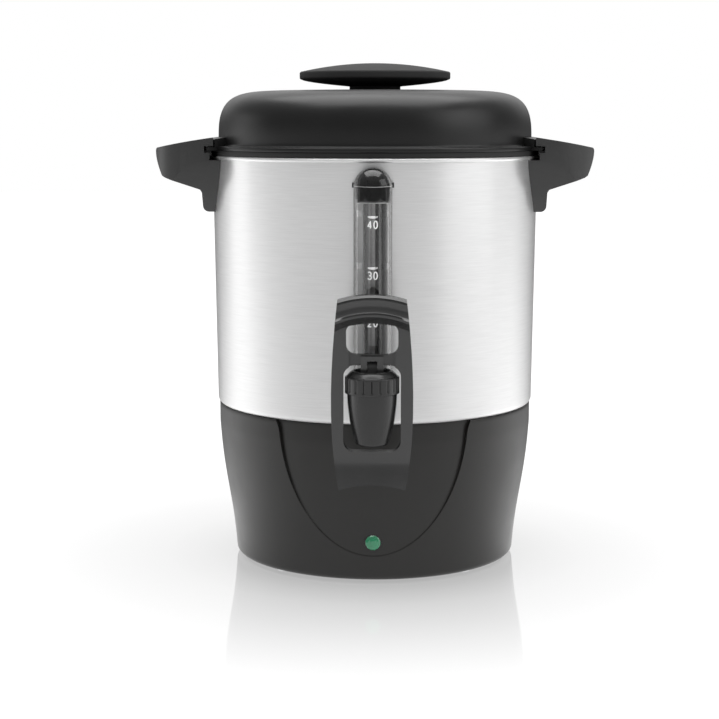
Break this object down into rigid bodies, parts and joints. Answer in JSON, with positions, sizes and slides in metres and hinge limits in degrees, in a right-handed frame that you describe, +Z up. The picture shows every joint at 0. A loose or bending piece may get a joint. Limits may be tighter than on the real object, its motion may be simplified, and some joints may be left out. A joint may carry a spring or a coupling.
{
  "type": "coffee urn",
  "caption": "Percolating coffee urn: steel vessel on a moulded base, push-lever faucet, sight gauge, side handles and twist-lock lid.",
  "frame": {"origin": "on the table, on the vessel's own axis", "axes": "+Z up, -Y towards the faucet and the gauge, +X towards the right-hand handle"},
  "size_m": [0.315, 0.2978, 0.3603],
  "materials": {
    "steel_vessel": "horizontally brushed, with a bright rolled rim",
    "steel_plain": "plain bright sheet",
    "aluminium": "satin",
    "base_plastic": "satin charcoal",
    "lid_plastic": "satin black with a broad soft highlight",
    "handle_plastic": "satin black",
    "faucet_plastic": "satin dark grey",
    "inner_plastic": "moulded, matt",
    "clear_plastic": "clear",
    "tube_glass": "clear",
    "green_lens": "translucent green, domed",
    "silicone": "milky silicone rubber",
    "black_rubber": "matt",
    "zinc_plate": "bright zinc plate",
    "ceramic": "unglazed ceramic and mica",
    "wire_cover": "red silicone sleeve",
    "lamp_glass": "neon lamp in a clear sleeve"
  },
  "bodies": {
    "root": {"base_housing": "base_plastic", "base_cover": "inner_plastic", "base_screws": "zinc_plate", "vessel": "steel_vessel", "heating_well": "steel_plain", "vessel_nuts": "zinc_plate", "main_heater": "aluminium", "heater_bracket": "steel_plain", "heater_nut": "zinc_plate", "warming_heater": "ceramic", "thermostat": "inner_plastic", "thermal_fuse": "ceramic", "wiring": "wire_cover", "inlet_housing": "inner_plastic", "inlet_pins": "zinc_plate", "indicator_lens": "green_lens", "indicator_lamp": "lamp_glass", "handle_left": "handle_plastic", "handle_right": "handle_plastic", "handle_screws": "zinc_plate", "gauge_shield": "clear_plastic", "gauge_tube": "tube_glass", "gauge_cap": "handle_plastic", "gauge_seal": "silicone", "gauge_screws": "zinc_plate", "faucet_body": "faucet_plastic", "faucet_gasket": "silicone", "faucet_washer": "steel_plain", "faucet_nut": "zinc_plate", "bonnet": "faucet_plastic", "stem_spring": "steel_plain"},
    "stem": {"stem": "inner_plastic", "seat_cup": "silicone"},
    "lever": {"trip_lever": "faucet_plastic", "lever_pin": "steel_plain"},
    "percolator": {"pump_tube": "aluminium", "pump_base": "aluminium", "brew_basket": "aluminium"},
    "basket_cover": {"basket_cover": "aluminium"},
    "pump_washer": {"pump_washer": "steel_plain"},
    "rim_seal": {"rim_seal": "black_rubber"},
    "lid": {"lid_shell": "lid_plastic", "lid_knob": "lid_plastic", "lid_screw": "zinc_plate"}
  },
  "joints": [
    {"name": "stem_lift", "type": "slide", "parent": "root", "child": "stem", "axis": [0, 0, 1], "range_m": [0, 0.0024], "deforming": ["stem_spring"]},
    {"name": "lever_tilt", "type": "hinge", "parent": "stem", "child": "lever", "pos_m": [0, -0.16, 0.1605], "axis": [1, 0, 0], "range_deg": [0, 15], "stiffness_Nm_per_rad": 0.5, "springref_deg": -11.46},
    {"name": "lid_lift", "type": "slide", "parent": "root", "child": "rim_seal", "axis": [0, 0, 1], "range_m": [0, 0.32]},
    {"name": "lid_turn", "type": "hinge", "parent": "rim_seal", "child": "lid", "pos_m": [0, 0, 0.3], "axis": [0, 0, 1], "range_deg": [0, 60]},
    {"name": "percolator_lift", "type": "slide", "parent": "root", "child": "percolator", "axis": [0, 0, 1], "range_m": [0, 0.24]},
    {"name": "cover_lift", "type": "slide", "parent": "percolator", "child": "basket_cover", "axis": [0, 0, 1], "range_m": [0, 0.03]},
    {"name": "washer_lift", "type": "slide", "parent": "percolator", "child": "pump_washer", "axis": [0, 0, 1], "range_m": [0, 0.003]}
  ],
  "couplings": [
    {"joint": "stem_lift", "follows": "lever_tilt", "m_per_rad": 0.0091},
    {"joint": "percolator_lift", "follows": "lid_lift", "ratio": 0.74},
    {"joint": "cover_lift", "follows": "lid_lift", "ratio": 0.09}
  ]
}
